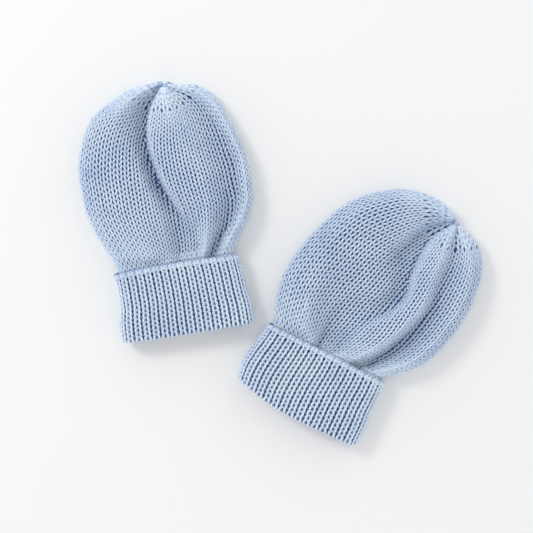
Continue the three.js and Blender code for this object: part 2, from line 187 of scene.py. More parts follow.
RIGHT = {
    "name": "right",
    "turn": -27.2,
    "origin": (5.02, -69.73),
    "gather": (25.4, 112.9),
    "spine_start": (0.0, 34.5),
    "edge": (34.2, 34.6, 34.1),
    "fold": (5.4, 0.0, 1.3),
    "sides": [
        (0.0, -31.4, 31.4),
        (0.25, -32.1, 31.2),
        (0.5, -31.3, 30.5),
        (0.75, -30.0, 30.3),
        (1.0, -29.1, 29.7),
    ],
    "outline": [
        (-0.08, -27.4, 29.3, 27.9, 28.4),
        (EDGE_PLACE, -27.0, 35.4, 27.7, 35.2),
        (0.02, -28.8, 38.2, 30.1, 36.4),
        (0.08, -31.3, 45.1, 34.5, 40.3),
        (0.18, -33.5, 57.0, 41.0, 47.4),
        (0.3, -32.0, 71.5, 45.6, 57.9),
        (0.42, -28.1, 85.6, 48.3, 69.2),
        (0.54, -22.1, 98.8, 49.3, 80.8),
        (0.66, -12.1, 109.2, 47.9, 92.3),
        (0.77, -0.7, 116.1, 44.4, 102.3),
        (0.87, 11.2, 118.2, 37.4, 108.9),
        (0.95, 20.6, 116.4, 30.1, 111.4),
        (1.0, 25.4, 112.9, 25.4, 112.9),
    ],
    "folds": [
        ("left edge", (-1, -1, -1, -1, -1, -1),
         (9.0, 9.6, 10.0, 10.0, 8.5, 6.5)),
        ("left rim", (-0.52, -0.66, -0.82, -0.9, -0.86, -0.86),
         (12.5, 15.0, 15.2, 14.2, 11.6, 7.0)),
        ("basin", (-0.3, -0.38, -0.34, -0.43, -0.55, -0.55),
         (8.6, 9.2, 10.6, 10.4, 7.8, 6.4)),
        ("basin floor", (-0.16, -0.2, -0.06, -0.24, -0.37, -0.37),
         (3.8, 6.0, 8.6, 4.2, 4.4, 6.0)),
        ("steep valley", (0.04, 0, 0.18, -0.04, -0.2, -0.2),
         (4.6, 7.6, 4.6, 3.4, 4.0, 6.0)),
        ("ridge shoulder", (0.2, 0.15, 0.27, 0.06, -0.11, -0.11),
         (9.2, 11.4, 12.4, 12.2, 9.0, 6.4)),
        ("ridge", (0.38, 0.4, 0.42, 0.28, 0.22, 0.22),
         (11.0, 13.8, 14.8, 14.4, 11.2, 7.0)),
        ("right valley", (0.6, 0.56, 0.56, 0.52, 0.5, 0.5),
         (3.8, 4.6, 7.8, 9.0, 8.2, 6.4)),
        ("right lobe", (0.78, 0.81, 0.81, 0.79, 0.75, 0.75),
         (10.6, 12.8, 13.2, 12.8, 10.4, 6.8)),
        ("right edge", (1, 1, 1, 1, 1, 1),
         (8.6, 9.8, 10.2, 10.0, 8.4, 6.4)),
    ],
}

for mitten in (LEFT, RIGHT):
    print(mitten["name"], "mitten:", len(mitten["folds"]), "fold lines")

# %% [markdown]
# A smooth line through a few measured points must not swing past a ridge or a valley,
# so the slope at each point is the harmonic mean of the slopes beside it, and level on a
# ridge or in a valley.


# %% Smooth lines through measured points
def soft_curve(xs, ys):
    xs = np.asarray(xs, float)
    ys = np.asarray(ys, float)
    steps = np.diff(ys) / np.diff(xs)
    slopes = np.zeros(len(xs))
    slopes[0] = steps[0]
    slopes[-1] = steps[-1]
    before, after = steps[:-1], steps[1:]
    rising = before * after > 0
    slopes[1:-1][rising] = 2 * (before * after)[rising] / (before + after)[rising]

    def value(x):
        inside = np.clip(x, xs[0], xs[-1])
        i = np.clip(np.searchsorted(xs, inside) - 1, 0, len(xs) - 2)
        width = xs[i + 1] - xs[i]
        t = (inside - xs[i]) / width
        return (
            ys[i] * (2 * t**3 - 3 * t**2 + 1)
            + slopes[i] * width * (t**3 - 2 * t**2 + t)
            + ys[i + 1] * (3 * t**2 - 2 * t**3)
            + slopes[i + 1] * width * (t**3 - t**2)
        )

    return value


def column_curves(rows):
    first, *others = zip(*rows)
    return [soft_curve(first, column) for column in others]


def mix(a, b, share):
    return a + (b - a) * share


def side_rise(t):
    return np.sqrt(1 - (1 - np.clip(t, 0, 1)) ** 2)


side_at, round_at, under_at = column_curves(POUCH_SIDES)
widest_lines = [round(float(side_at(at)), 1) for at in (EDGE_PLACE, 0.5, 1.0)]
print("height of a pouch's widest line at the cuff, half way and at the tip:", widest_lines)

# %% [markdown]
# The pouch is a stack of courses, each a closed loop over the top from left to right and
# back along the underside. Points are spread evenly along each loop, because the stitches
# of a real course all have the same length of yarn. Heights count a little less in that
# spread, so stitches stretch on a steep slope, as knitting does. The top and the underside
# get fixed shares of the stitches, so the wales run along the side edges as on the mitten.

# %% The hand pouch
FINE_STEPS = 240
SLOPE_STRETCH = 1.3
TINY = 1e-9


def even_along(points, count, closed_end, stretch=1.0):
    lengths = np.linalg.norm(np.diff(points, axis=0) * (1, 1, 1 / stretch), axis=1)
    run = np.concatenate([[0], np.cumsum(lengths)])
    marks = np.linspace(0, run[-1], count, endpoint=closed_end)
    return np.stack([np.interp(marks, run, points[:, k]) for k in range(3)], axis=1), run[-1]


def pouch_course(mitten, at):
    left_x, left_y, right_x, right_y = (c(at) for c in mitten["outline_curves"])
    across = -np.cos(np.linspace(0, math.pi, FINE_STEPS))
    share = (1 + across) / 2
    spine_x = mix(mitten["spine_start"][0], mitten["gather"][0], at)
    spine_y = mix(mitten["spine_start"][1], mitten["gather"][1], at)
    bulge = 1 - across**2
    x = mix(left_x, right_x, share) + (spine_x - (left_x + right_x) / 2) * bulge
    y = mix(left_y, right_y, share) + (spine_y - (left_y + right_y) / 2) * bulge
    half = np.hypot(np.diff(x), np.diff(y)).sum() / 2
    rounding = max(min(float(round_at(at)), SIDE_SHARE * half), TINY)
    rise = side_rise((1 - np.abs(across)) * half / rounding) * side_rise(half / POLE_RADIUS)
    marks = [float(place(at)) for place, _ in mitten["fold_curves"]]
    heights = [float(height(at)) for _, height in mitten["fold_curves"]]
    top = soft_curve(marks, heights)(across)
    middle = side_at(at)
    over = np.stack([x, y, middle + (top - middle) * rise], axis=1)
    below = np.stack([x, y, middle + (under_at(at) - middle) * rise], axis=1)
    return over, below[::-1]


def pouch_grid(mitten, places, columns):
    over_count = round(columns * TOP_SHARE)
    rings = []
    for at in places:
        over, below = pouch_course(mitten, at)
        over_points, over_length = even_along(over, over_count, False, SLOPE_STRETCH)
        below_points, below_length = even_along(below, columns - over_count + 1, True)
        rings.append(np.concatenate([over_points, below_points]))
        mitten["round_lengths"].append((over_length, below_length))
    return np.array(rings)


for mitten in (LEFT, RIGHT):
    mitten["outline_curves"] = column_curves(mitten["outline"])
    mitten["fold_curves"] = [
        (
            soft_curve(FOLD_PLACES, across),
            soft_curve(
                [EDGE_PLACE, *FOLD_PLACES],
                [min(CUFF_THICKNESS - TUCK, heights[0] + EDGE_LIFT), *heights],
            ),
        )
        for _, across, heights in mitten["folds"]
    ]
    mitten["round_lengths"] = []
    half_way = [round(float(height(0.5)), 1) for _, height in mitten["fold_curves"]]
    print(mitten["name"], "pouch, heights of its folds half way along, in mm:", half_way)

# %% [markdown]
# The cuff is a flattened tube whose side edges are half circles. It is turned up: the
# outer layer comes down to the fold, goes round it and runs up again inside as a lining.


# %% The turned-up cuff
def cuff_loop(mitten, up, inset, lift, columns):
    left, right = (float(c(up)) for c in mitten["side_curves"])
    flat = right - left - 2 * CUFF_MIDDLE
    quarter = math.pi * CUFF_MIDDLE / 2
    total = flat + 2 * quarter
    halves = np.linspace(0, 2, columns)
    on_top = halves <= 1
    arc = np.where(on_top, halves, 2 - halves) * total
    radius = CUFF_MIDDLE - inset
    angle = np.minimum(np.minimum(arc, total - arc), quarter) / CUFF_MIDDLE
    outward = np.where(arc < total / 2, -1, 1)
    x = left + CUFF_MIDDLE + np.clip(arc - quarter, 0, flat) + outward * radius * np.cos(angle)
    z = radius * np.sin(angle)
    share = np.clip((x - left) / (right - left), 0, 1)
    from_side = np.minimum(x - left, right - x)
    t = np.clip(1 - from_side / CORNER_RADIUS, 0, 1)
    corner = CORNER_RADIUS * (1 - np.sqrt(1 - t * t))
    away = 2 * share - 1

    def bow(line):
        at_left, at_middle, at_right = line
        return mix(at_middle, np.where(away < 0, at_left, at_right), away**2)

    y = mix(bow(mitten["fold"]) + corner, bow(mitten["edge"]), up) + lift
    return np.stack([x, y, CUFF_MIDDLE + np.where(on_top, z, -z)], axis=1)


def cuff_grid(mitten, rows, columns):
    mitten["side_curves"] = column_curves(mitten["sides"])
    height = mitten["edge"][1] - mitten["fold"][1]
    turn = math.pi * FOLD_RADIUS
    lining = height * LINING_TOP - FOLD_LIFT
    outer = height - FOLD_LIFT - YARN_RADIUS
    total = lining + turn + outer
    rings = []
    for run in np.linspace(0, total, rows):
        if run < lining:
            share = run / lining
            up, inset, lift = LINING_TOP * (1 - share), LINING_INSET, FOLD_LIFT * share
        elif run < lining + turn:
            angle = math.pi - (run - lining) / FOLD_RADIUS
            up = 0.0
            inset = FOLD_LIFT - FOLD_RADIUS * math.cos(angle)
            lift = FOLD_LIFT - FOLD_RADIUS * math.sin(angle)
        else:
            up = (run - lining - turn) / outer
            inset, lift = CUFF_INSET, mix(FOLD_LIFT, -YARN_RADIUS, up)
        rings.append(cuff_loop(mitten, up, inset, lift, columns))
    mitten["fold_share"] = (lining + turn / 2) / total
    mitten["cuff_length"] = total
    return np.array(rings)


print(f"cuff layers: {CUFF_INSET:.2f} and {LINING_INSET:.2f} mm inside the outermost face")


# %% [markdown]
# A form is a fine grid that the knitting is laid on, as a fabric is laid on a last.
# It carries a map (how far round, how far along) and the direction that is outward there.
# The forms aren't part of the object: they are removed once the yarn lies on them.


# %% Forms to lay the fabric on
def in_scene(name, data):
    thing = bpy.data.objects.new(name, data)
    bpy.context.scene.collection.objects.link(thing)
    return thing


def outward_of(grid):
    round_about = np.concatenate([grid[:, -2:-1], grid, grid[:, 1:2]], axis=1)
    around = round_about[:, 2:] - round_about[:, :-2]
    along = np.gradient(grid, axis=0)
    normals = np.cross(around, along)
    lengths = np.linalg.norm(normals, axis=2, keepdims=True)
    return normals / np.maximum(lengths, TINY)


def to_world(mitten, points):
    angle = math.radians(mitten["turn"])
    turned = points.copy()
    turned[..., 0] = points[..., 0] * math.cos(angle) - points[..., 1] * math.sin(angle)
    turned[..., 1] = points[..., 0] * math.sin(angle) + points[..., 1] * math.cos(angle)
    return turned


def place(mitten, points):
    return (to_world(mitten, points) + np.array([*mitten["origin"], 0.0])) * MM


def make_form(name, mitten, grid):
    rows, columns = grid.shape[:2]
    corners = place(mitten, grid).reshape(-1, 3)
    outward = to_world(mitten, outward_of(grid)).reshape(-1, 3)
    index = np.arange(rows * columns).reshape(rows, columns)
    faces = np.stack(
        [index[:-1, :-1], index[:-1, 1:], index[1:, 1:], index[1:, :-1]], axis=-1
    ).reshape(-1, 4)
    mesh = bpy.data.meshes.new(name)
    mesh.from_pydata(corners.tolist(), [], faces.tolist())
    u, v = np.meshgrid(np.linspace(0, 1, columns), np.linspace(0, 1, rows))
    lay = mesh.attributes.new("lay", "FLOAT_VECTOR", "POINT")
    lay.data.foreach_set("vector", np.stack([u, v, u * 0], axis=-1).ravel())
    normal = mesh.attributes.new("outward", "FLOAT_VECTOR", "POINT")
    normal.data.foreach_set("vector", outward.ravel())
    return in_scene(name, mesh)


for mitten in (LEFT, RIGHT):
    zero = place(mitten, np.zeros(3)).round(4).tolist()
    print(f"the {mitten['name']} mitten's own zero lies at {zero} in metres")


# %% [markdown]
# Node trees are built in Python. A small class wraps a socket, so that an expression such
# as turn * 2 + sway adds its own Math nodes, for shaders and for Geometry Nodes alike.


# %% A short way to write nodes
class Wire:
    def __init__(self, tree, socket):
        self.tree = tree
        self.socket = socket

    def maths(self, operation, *values):
        return add_node(self.tree, "ShaderNodeMath", {"operation": operation}, list(values))

    def __add__(self, other):
        return self.maths("ADD", self, other)

    __radd__ = __add__

    def __sub__(self, other):
        return self.maths("SUBTRACT", self, other)

    def __rsub__(self, other):
        return self.maths("SUBTRACT", other, self)

    def __mul__(self, other):
        return self.maths("MULTIPLY", self, other)

    __rmul__ = __mul__

    def __truediv__(self, other):
        return self.maths("DIVIDE", self, other)

    def sine(self):
        return self.maths("SINE", self)

    def cosine(self):
        return self.maths("COSINE", self)

    def fraction(self):
        return self.maths("FRACT", self)

    def size(self):
        return self.maths("ABSOLUTE", self)

    def power(self, exponent):
        return self.maths("POWER", self, exponent)

    def at_least(self, lowest):
        return self.maths("MAXIMUM", self, lowest)

    def at_most(self, highest):
        return self.maths("MINIMUM", self, highest)


def add_node(tree, kind, settings=None, sockets=(), output=0):
    node = tree.nodes.new(kind)
    for name, value in (settings or {}).items():
        setattr(node, name, value)
    pairs = sockets.items() if isinstance(sockets, dict) else enumerate(sockets)
    for key, value in pairs:
        if isinstance(value, Wire):
            tree.links.new(value.socket, node.inputs[key])
        elif value is not None:
            node.inputs[key].default_value = value
    return Wire(tree, node.outputs[output])


def split(tree, vector):
    node = tree.nodes.new("ShaderNodeSeparateXYZ")
    tree.links.new(vector.socket, node.inputs[0])
    return [Wire(tree, socket) for socket in node.outputs]


# %% [markdown]
# One yarn makes a whole round of stitches after another, like the needles do. Its path
# comes from a rule: t counts stitches, and each stitch swings up and down (a loop),
# sideways (so that its legs lean into a V) and in and out of the fabric (so that the legs
# lie on the face and the loops' heads behind). For rib, every second stitch turns to the
# back and is squeezed narrow. The path is then laid on the form, shaken a little, kept off
# the table and given a round section. It keeps how high each spot stands, which the colours
# turn into painted shade in the gaps and a painted highlight on the tops.

# %% The knitting tree
FORM_ENDS = (0.001, 0.999)
WOBBLE_SCALE = 420.0
TREE_INPUTS = [
    ("Form", "NodeSocketGeometry"),
    ("Stitches in a round", "NodeSocketFloat"),
    ("Rounds", "NodeSocketFloat"),
    ("Points in a stitch", "NodeSocketInt"),
    ("Start", "NodeSocketFloat"),
    ("End", "NodeSocketFloat"),
    ("Sway", "NodeSocketFloat"),
    ("Loop height", "NodeSocketFloat"),
    ("Loop depth", "NodeSocketFloat"),
    ("Rib", "NodeSocketFloat"),
    ("Rib squeeze", "NodeSocketFloat"),
    ("Rib lift", "NodeSocketFloat"),
    ("Inset", "NodeSocketFloat"),
    ("Yarn radius", "NodeSocketFloat"),
    ("Sides of the yarn", "NodeSocketInt"),
    ("Unevenness", "NodeSocketFloat"),
    ("Seed", "NodeSocketFloat"),
    ("Yarn", "NodeSocketMaterial"),
]


def knitting_tree():
    tree = bpy.data.node_groups.new("Knitting", "GeometryNodeTree")
    for name, kind in TREE_INPUTS:
        tree.interface.new_socket(name, in_out="INPUT", socket_type=kind)
    tree.interface.new_socket("Fabric", in_out="OUTPUT", socket_type="NodeSocketGeometry")
    entry = tree.nodes.new("NodeGroupInput")
    given = {name: Wire(tree, entry.outputs[name]) for name, _ in TREE_INPUTS}

    def node(kind, settings=None, sockets=(), output=0):
        return add_node(tree, kind, settings, sockets, output)

    def named(name, kind):
        return node("GeometryNodeInputNamedAttribute", {"data_type": kind}, {"Name": name})

    def vector(operation, *values, output=0):
        return node("ShaderNodeVectorMath", {"operation": operation}, values, output)

    def triple(value):
        return node("ShaderNodeCombineXYZ", {}, [value] * 3)

    def sampled(value):
        return node(
            "GeometryNodeSampleUVSurface",
            {"data_type": "FLOAT_VECTOR"},
            {"Mesh": given["Form"], "Value": value, "UV Map": lay, "Sample UV": spot},
        )

    stitches = given["Stitches in a round"]
    rounds = given["Rounds"]
    count = stitches * rounds * given["Points in a stitch"] + 1
    path = node("GeometryNodeMeshLine", {}, {"Count": count})
    t = node("GeometryNodeInputIndex") / given["Points in a stitch"]
    phase = t * (2 * math.pi)
    twice = phase * 2
    swayed = t + given["Sway"] * twice.sine()
    rib = given["Rib"]
    squeezed = swayed + rib * given["Rib squeeze"] * (swayed * math.pi).sine() / math.pi
    face = rib * ((t * math.pi).cosine() - 1) + 1
    depth = face * (given["Rib lift"] - given["Loop depth"] * twice.cosine())
    row = t / stitches + given["Loop height"] * phase.cosine()
    u = (squeezed / stitches).fraction()
    v = given["Start"] + (given["End"] - given["Start"]) * (row / rounds)
    lowest, highest = FORM_ENDS
    spot = node("ShaderNodeCombineXYZ", {}, [u, v.at_least(lowest).at_most(highest)])
    lay = named("lay", "FLOAT_VECTOR")
    surface = sampled(node("GeometryNodeInputPosition"))
    outward = vector("NORMALIZE", sampled(named("outward", "FLOAT_VECTOR")))
    lifted = vector("MULTIPLY_ADD", outward, triple(depth - given["Inset"]), surface)
    wobble = node(
        "ShaderNodeTexNoise",
        {"noise_dimensions": "4D"},
        {"Vector": lifted, "W": given["Seed"], "Scale": WOBBLE_SCALE, "Detail": 1.0},
        output="Color",
    )
    wobble = vector("SUBTRACT", wobble, (0.5, 0.5, 0.5))
    moved = vector("MULTIPLY_ADD", wobble, triple(given["Unevenness"]), lifted)
    x, y, z = split(tree, moved)
    on_table = given["Yarn radius"] + TABLE_GAP * MM
    laid_spot = node("ShaderNodeCombineXYZ", {}, [x, y, z.at_least(on_table)])

    def kept(geometry, name, value, kind="FLOAT_VECTOR"):
        return node(
            "GeometryNodeStoreNamedAttribute",
            {"data_type": kind, "domain": "POINT"},
            {"Geometry": geometry, "Name": name, "Value": value},
        )

    laid = kept(path, "facing", outward)
    laid = kept(laid, "deep", depth, "FLOAT")
    laid = node("GeometryNodeSetPosition", {}, {"Geometry": laid, "Position": laid_spot})
    laid = kept(laid, "core", node("GeometryNodeInputPosition"))
    strand = node("GeometryNodeMeshToCurve", {}, {"Mesh": laid})
    run = node("GeometryNodeSplineParameter", output="Length") / MM
    strand = kept(strand, "along", run, "FLOAT")
    section = node(
        "GeometryNodeCurvePrimitiveCircle",
        {},
        {"Resolution": given["Sides of the yarn"], "Radius": given["Yarn radius"]},
    )
    section = kept(section, "around", vector("NORMALIZE", node("GeometryNodeInputPosition")))
    fabric = node(
        "GeometryNodeCurveToMesh",
        {},
        {"Curve": strand, "Profile Curve": section, "Fill Caps": True},
    )
    here = node("GeometryNodeInputPosition")
    off_core = vector("SUBTRACT", here, named("core", "FLOAT_VECTOR"))
    facing = named("facing", "FLOAT_VECTOR")
    raised = vector("DOT_PRODUCT", off_core, facing, output="Value")
    raised = raised / given["Yarn radius"] * YARN_RADIUS + named("deep", "FLOAT") / MM
    fabric = kept(fabric, "raised", raised, "FLOAT")
    for name in ("facing", "deep", "core"):
        fabric = node("GeometryNodeRemoveAttribute", {}, {"Geometry": fabric, "Name": name})
    fabric = node("GeometryNodeSetShadeSmooth", {}, {"Geometry": fabric})
    fabric = node("GeometryNodeRealizeInstances", {}, {"Geometry": fabric})
    fabric = node("GeometryNodeSetMaterial", {}, {"Geometry": fabric, "Material": given["Yarn"]})
    leave = tree.nodes.new("NodeGroupOutput")
    tree.links.new(fabric.socket, leave.inputs[0])
    return tree


knitting = knitting_tree()
print("knitting tree:", len(knitting.nodes), "nodes")


# %% [markdown]
# Each piece gets a map of its surface onto a picture of its own, for its colours. A yarn is a
# long tube, so its surface is cut into strips of equal length that lie side by side on that
# picture.


# %% A picture layout for a yarn
RINGS_IN_A_STRIP = 256
STRIP_LOW = 0.002
STRIP_HEIGHT = 0.985
CAP_RADIUS = 0.003
CAP_HEIGHT = 0.994
FIRST_CAP, LAST_CAP = 0.3, 0.7


def lay_out_yarn(mesh, sides):
    corners = np.empty(len(mesh.loops), np.int32)
    mesh.loops.foreach_get("vertex_index", corners)
    sizes = np.empty(len(mesh.polygons), np.int32)
    mesh.polygons.foreach_get("loop_total", sizes)
    face = np.repeat(np.arange(len(sizes)), sizes)
    starts = np.concatenate([[0], np.cumsum(sizes)[:-1]])
    ring, side = corners // sides, corners % sides
    first_ring = np.minimum.reduceat(ring, starts)[face]
    wraps = np.maximum.reduceat(side, starts)[face] - np.minimum.reduceat(side, starts)[face] > 1
    turned = np.where(wraps & (side == 0), sides, side)
    strips = int(ring.max() // RINGS_IN_A_STRIP + 1)
    strip = first_ring // RINGS_IN_A_STRIP
    u = (strip + (turned + 0.5) / (sides + 1)) / strips
    v = STRIP_LOW + STRIP_HEIGHT * (ring - strip * RINGS_IN_A_STRIP) / RINGS_IN_A_STRIP
    # on a four-sided yarn an end looks like any other face, so it stays in its strip
    cap = (sizes[face] == sides) & (sides != 4)
    angle = side * 2 * math.pi / sides
    middle = np.where(ring == 0, FIRST_CAP, LAST_CAP)
    u = np.where(cap, middle + CAP_RADIUS * np.cos(angle), u)
    v = np.where(cap, CAP_HEIGHT + CAP_RADIUS * np.sin(angle), v)
    layout = mesh.uv_layers.new(name="OFBake")
    layout.data.foreach_set("uv", np.stack([u, v], axis=1).ravel().astype(np.float32))


print("rings of yarn in a strip:", RINGS_IN_A_STRIP)

# %% [markdown]
# To knit a piece, the tree's inputs are set on its form, and the finished yarn is taken as
# a mesh of its own. The modifier comes off again, so that the piece is plain geometry. It
# rides with the mitten.


# %% Knit a piece on its form
def knit(name, form, slot_name, **sizes):
    modifier = form.modifiers.new("Knitting", "NODES")
    modifier.node_group = knitting
    for item in knitting.interface.items_tree:
        if item.in_out == "INPUT" and item.name in sizes:
            modifier[item.identifier] = sizes[item.name]
    sides = sizes["Sides of the yarn"]
    evaluated = form.evaluated_get(bpy.context.evaluated_depsgraph_get())
    mesh = bpy.data.meshes.new_from_object(evaluated)
    form.modifiers.remove(modifier)
    mesh.name = name
    lay_out_yarn(mesh, sides)
    piece = in_scene(name, mesh)
    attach(piece, "root")
    mesh.calc_loop_triangles()
    print(f"{name}: {len(mesh.loop_triangles)} triangles")
    return piece


# %% [markdown]
# The yarn is powder blue. Deep in a gap it is painted darker, as shade, because little light
# gets there, and on top of a strand it is painted paler, as a highlight; so three tones are
# mixed by how far a spot stands over the middle of the fabric. Slow patches and fine fibres
# shift them, as the dye is never quite even. Loose fibres catch the light along a strand's
# edges, which is what sheen is for, and two plies twist round each other as a bump that
# follows the strand.

# %% Finishes
# millimetres over the middle of the fabric where the painted shade, the yarn's own blue and
# the painted highlight lie: the depth of a gap, a strand's side, its top
HAND_SHADE_HEIGHTS = (-0.5, 0.3, 1.1)
RIB_SHADE_HEIGHTS = (-0.3, 0.6, 1.4)
TIP_SHADE_HEIGHTS = (-1.8, 0.2, 1.2)
# millimetres by which the noise shifts the tones, and of one turn of the two plies
TONE_SHIFT = 0.5
TWIST_LENGTH = 2.6
PLY_HEIGHT = 0.22 * MM
PLY_SHARE = 0.5
FIBRE_SHARE = 0.6
# noise cells in a metre
PATCHES = 60.0
FIBRES = 1800.0
GROUND_FIBRES = 1500.0
# sockets of a Mix node for colours
SHARE, FIRST_COLOUR, SECOND_COLOUR, MIXED_COLOUR = 0, 6, 7, 2


def new_material(name, roughness, shine):
    material = bpy.data.materials.new(name)
    material.use_nodes = True
    shader = material.node_tree.nodes["Principled BSDF"]
    shader.inputs["Roughness"].default_value = roughness
    shader.inputs["Specular IOR Level"].default_value = shine
    return material, material.node_tree, shader


def noise(tree, scale, detail):
    on_object = add_node(tree, "ShaderNodeTexCoord", output="Object")
    sockets = {"Vector": on_object, "Scale": scale, "Detail": detail}
    return add_node(tree, "ShaderNodeTexNoise", {}, sockets)


def stored(tree, name, output="Fac"):
    return add_node(tree, "ShaderNodeAttribute", {"attribute_name": name}, output=output)


def mixed(tree, share, first, second):
    sockets = {SHARE: share, FIRST_COLOUR: first, SECOND_COLOUR: (*second, 1.0)}
    return add_node(tree, "ShaderNodeMix", {"data_type": "RGBA"}, sockets, MIXED_COLOUR)


def yarn_material(name, shade_heights, gap_shade, colour, top_highlight):
    material, tree, shader = new_material(name, roughness=0.85, shine=0.25)
    shader.inputs["Sheen Weight"].default_value = 0.35
    shader.inputs["Sheen Roughness"].default_value = 0.4
    shader.inputs["Sheen Tint"].default_value = (0.85, 0.93, 1.0, 1.0)
    patches = noise(tree, PATCHES, detail=2.0)
    fibres = noise(tree, FIBRES, detail=3.0)
    raised = stored(tree, "raised")
    for unevenness in (patches, fibres):
        raised = raised + (unevenness - 0.5) * TONE_SHIFT
    # painted shade at a gap's depth, the yarn's own blue on a strand's side, a painted highlight
    # on its top
    gap, side, top = shade_heights
    tone = (*gap_shade, 1.0)
    for low, high, next_tone in ((gap, side, colour), (side, top, top_highlight)):
        sockets = {"Value": raised, "From Min": low, "From Max": high}
        tone = mixed(tree, add_node(tree, "ShaderNodeMapRange", {}, sockets), tone, next_tone)
    tree.links.new(tone.socket, shader.inputs["Base Color"])
    x, y, _ = split(tree, stored(tree, "around", "Vector"))
    angle = stored(tree, "along") * (2 * math.pi / TWIST_LENGTH)
    plies = angle.sine() * (x * x - y * y) + angle.cosine() * (x * y * 2)
    height = plies * PLY_SHARE + fibres * FIBRE_SHARE
    sockets = {"Height": height, "Distance": PLY_HEIGHT, "Strength": 0.7}
    bump = add_node(tree, "ShaderNodeBump", {}, sockets)
    tree.links.new(bump.socket, shader.inputs["Normal"])
    return material


# painted shade for the gaps, the yarn's own blue, and a painted highlight for the strand tops
GAP_SHADE_BLUE = (0.035, 0.09, 0.29)
POWDER_BLUE = (0.42, 0.55, 0.78)
TOP_HIGHLIGHT_BLUE = (0.82, 0.91, 0.97)
# painted shade for the ground between the stitches: two dark blues that noise mixes
SHADOW_BLUE = (0.03, 0.055, 0.16)
PALER_SHADOW_BLUE = (0.08, 0.13, 0.32)
hand_yarn = yarn_material("powder blue yarn", HAND_SHADE_HEIGHTS, GAP_SHADE_BLUE, POWDER_BLUE, TOP_HIGHLIGHT_BLUE)
tip_yarn = yarn_material("powder blue tip", TIP_SHADE_HEIGHTS, GAP_SHADE_BLUE, POWDER_BLUE, TOP_HIGHLIGHT_BLUE)
rib_yarn = yarn_material("powder blue ribbing", RIB_SHADE_HEIGHTS, GAP_SHADE_BLUE, POWDER_BLUE, TOP_HIGHLIGHT_BLUE)


def shaded_ground_material():
    material, tree, shader = new_material("painted shade inside the fabric", roughness=0.95, shine=0.1)
    fibres = noise(tree, GROUND_FIBRES, detail=3.0)
    # the ground's dark blues are painted shade of the yarn behind the stitches
    tone = mixed(tree, fibres, (*SHADOW_BLUE, 1.0), PALER_SHADOW_BLUE)
    tree.links.new(tone.socket, shader.inputs["Base Color"])
    return material


shaded_inside_of_fabric = shaded_ground_material()
finishes = (hand_yarn, tip_yarn, rib_yarn, shaded_inside_of_fabric)
print("finishes:", [material.name for material in finishes])

# %% [markdown]
# Behind the loops lies a thin ground, the part of the yarn that one sees only as depth
# between the stitches. Its dark blue is painted shade: the yarn there is the same blue, only
# in the shadow between the stitches. It is one closed wall on the same form, and it stands
# for the solid of the frame: its size is the size that the fabric was knitted to. It is drawn
# on every fourth or fifth row of the form and on every second column, which is fine enough.

# %% The ground of the fabric
GROUND_WALL = 0.35
PICTURE_MARGIN = 0.01
TIP_SPOT = (0.5, 0.0)


def coarser(grid, step):
    return grid[:-step:step, ::2]


def loops_layout(columns, joins):
    drawn = 1 - 2 * PICTURE_MARGIN
    layout = []
    for r in range(joins):
        low = PICTURE_MARGIN + drawn * r / joins
        high = PICTURE_MARGIN + drawn * (r + 1) / joins
        for k in range(columns):
            here, there = k / columns, (k + 1) / columns
            layout += [(here, low), (there, low), (there, high), (here, high)]
    return layout


def closed_wall(name, mitten, grid, depth, pole=None):
    ring = grid[:, :-1]
    normals = outward_of(grid)[:, :-1]
    outer = ring - normals * (depth - GROUND_WALL / 2)
    inner = ring - normals * (depth + GROUND_WALL / 2)
    outer[..., 2] = np.maximum(outer[..., 2], TABLE_GAP)
    inner[..., 2] = np.maximum(inner[..., 2], TABLE_GAP + GROUND_WALL)
    loops = np.concatenate([inner[::-1], outer])
    count, columns = loops.shape[:2]
    points = place(mitten, loops).reshape(-1, 3)
    index = np.arange(count * columns).reshape(count, columns)
    below = index if pole is None else index[:-1]
    above = np.roll(index, -1, axis=0) if pole is None else index[1:]
    faces = np.stack(
        [below, np.roll(below, -1, axis=1), np.roll(above, -1, axis=1), above], axis=-1
    )
    faces = faces.reshape(-1, 4).tolist()
    layout = loops_layout(columns, len(below))
    if pole is not None:
        tips = place(mitten, np.array([pole, pole], float))
        first = len(points)
        points = np.concatenate([points, tips])
        ends = np.arange(columns)
        faces += [[first, (k + 1) % columns, k] for k in ends]
        last = (count - 1) * columns
        faces += [[first + 1, last + k, last + (k + 1) % columns] for k in ends]
        layout += [TIP_SPOT] * (6 * columns)
    mesh = bpy.data.meshes.new(name)
    mesh.from_pydata(points.tolist(), [], faces)
    mesh.polygons.foreach_set("use_smooth", [True] * len(faces))
    mesh.uv_layers.new(name="OFBake").data.foreach_set("uv", np.array(layout, np.float32).ravel())
    mesh.materials.append(shaded_inside_of_fabric)
    piece = in_scene(name, mesh)
    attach(piece, "root")
    return piece


print(f"the ground is a wall {GROUND_WALL} mm thick")

# %% [markdown]
# The hand is knitted as the pattern would say: plain rounds on all the stitches, then a
# crown on half of them, then a tip on a quarter. Fewer stitches on the same round are
# wider, so their yarn is drawn thicker. The yarn's end draws the tip together in a few
# turns. The plain rounds are two pieces, because one would be too large a mesh.

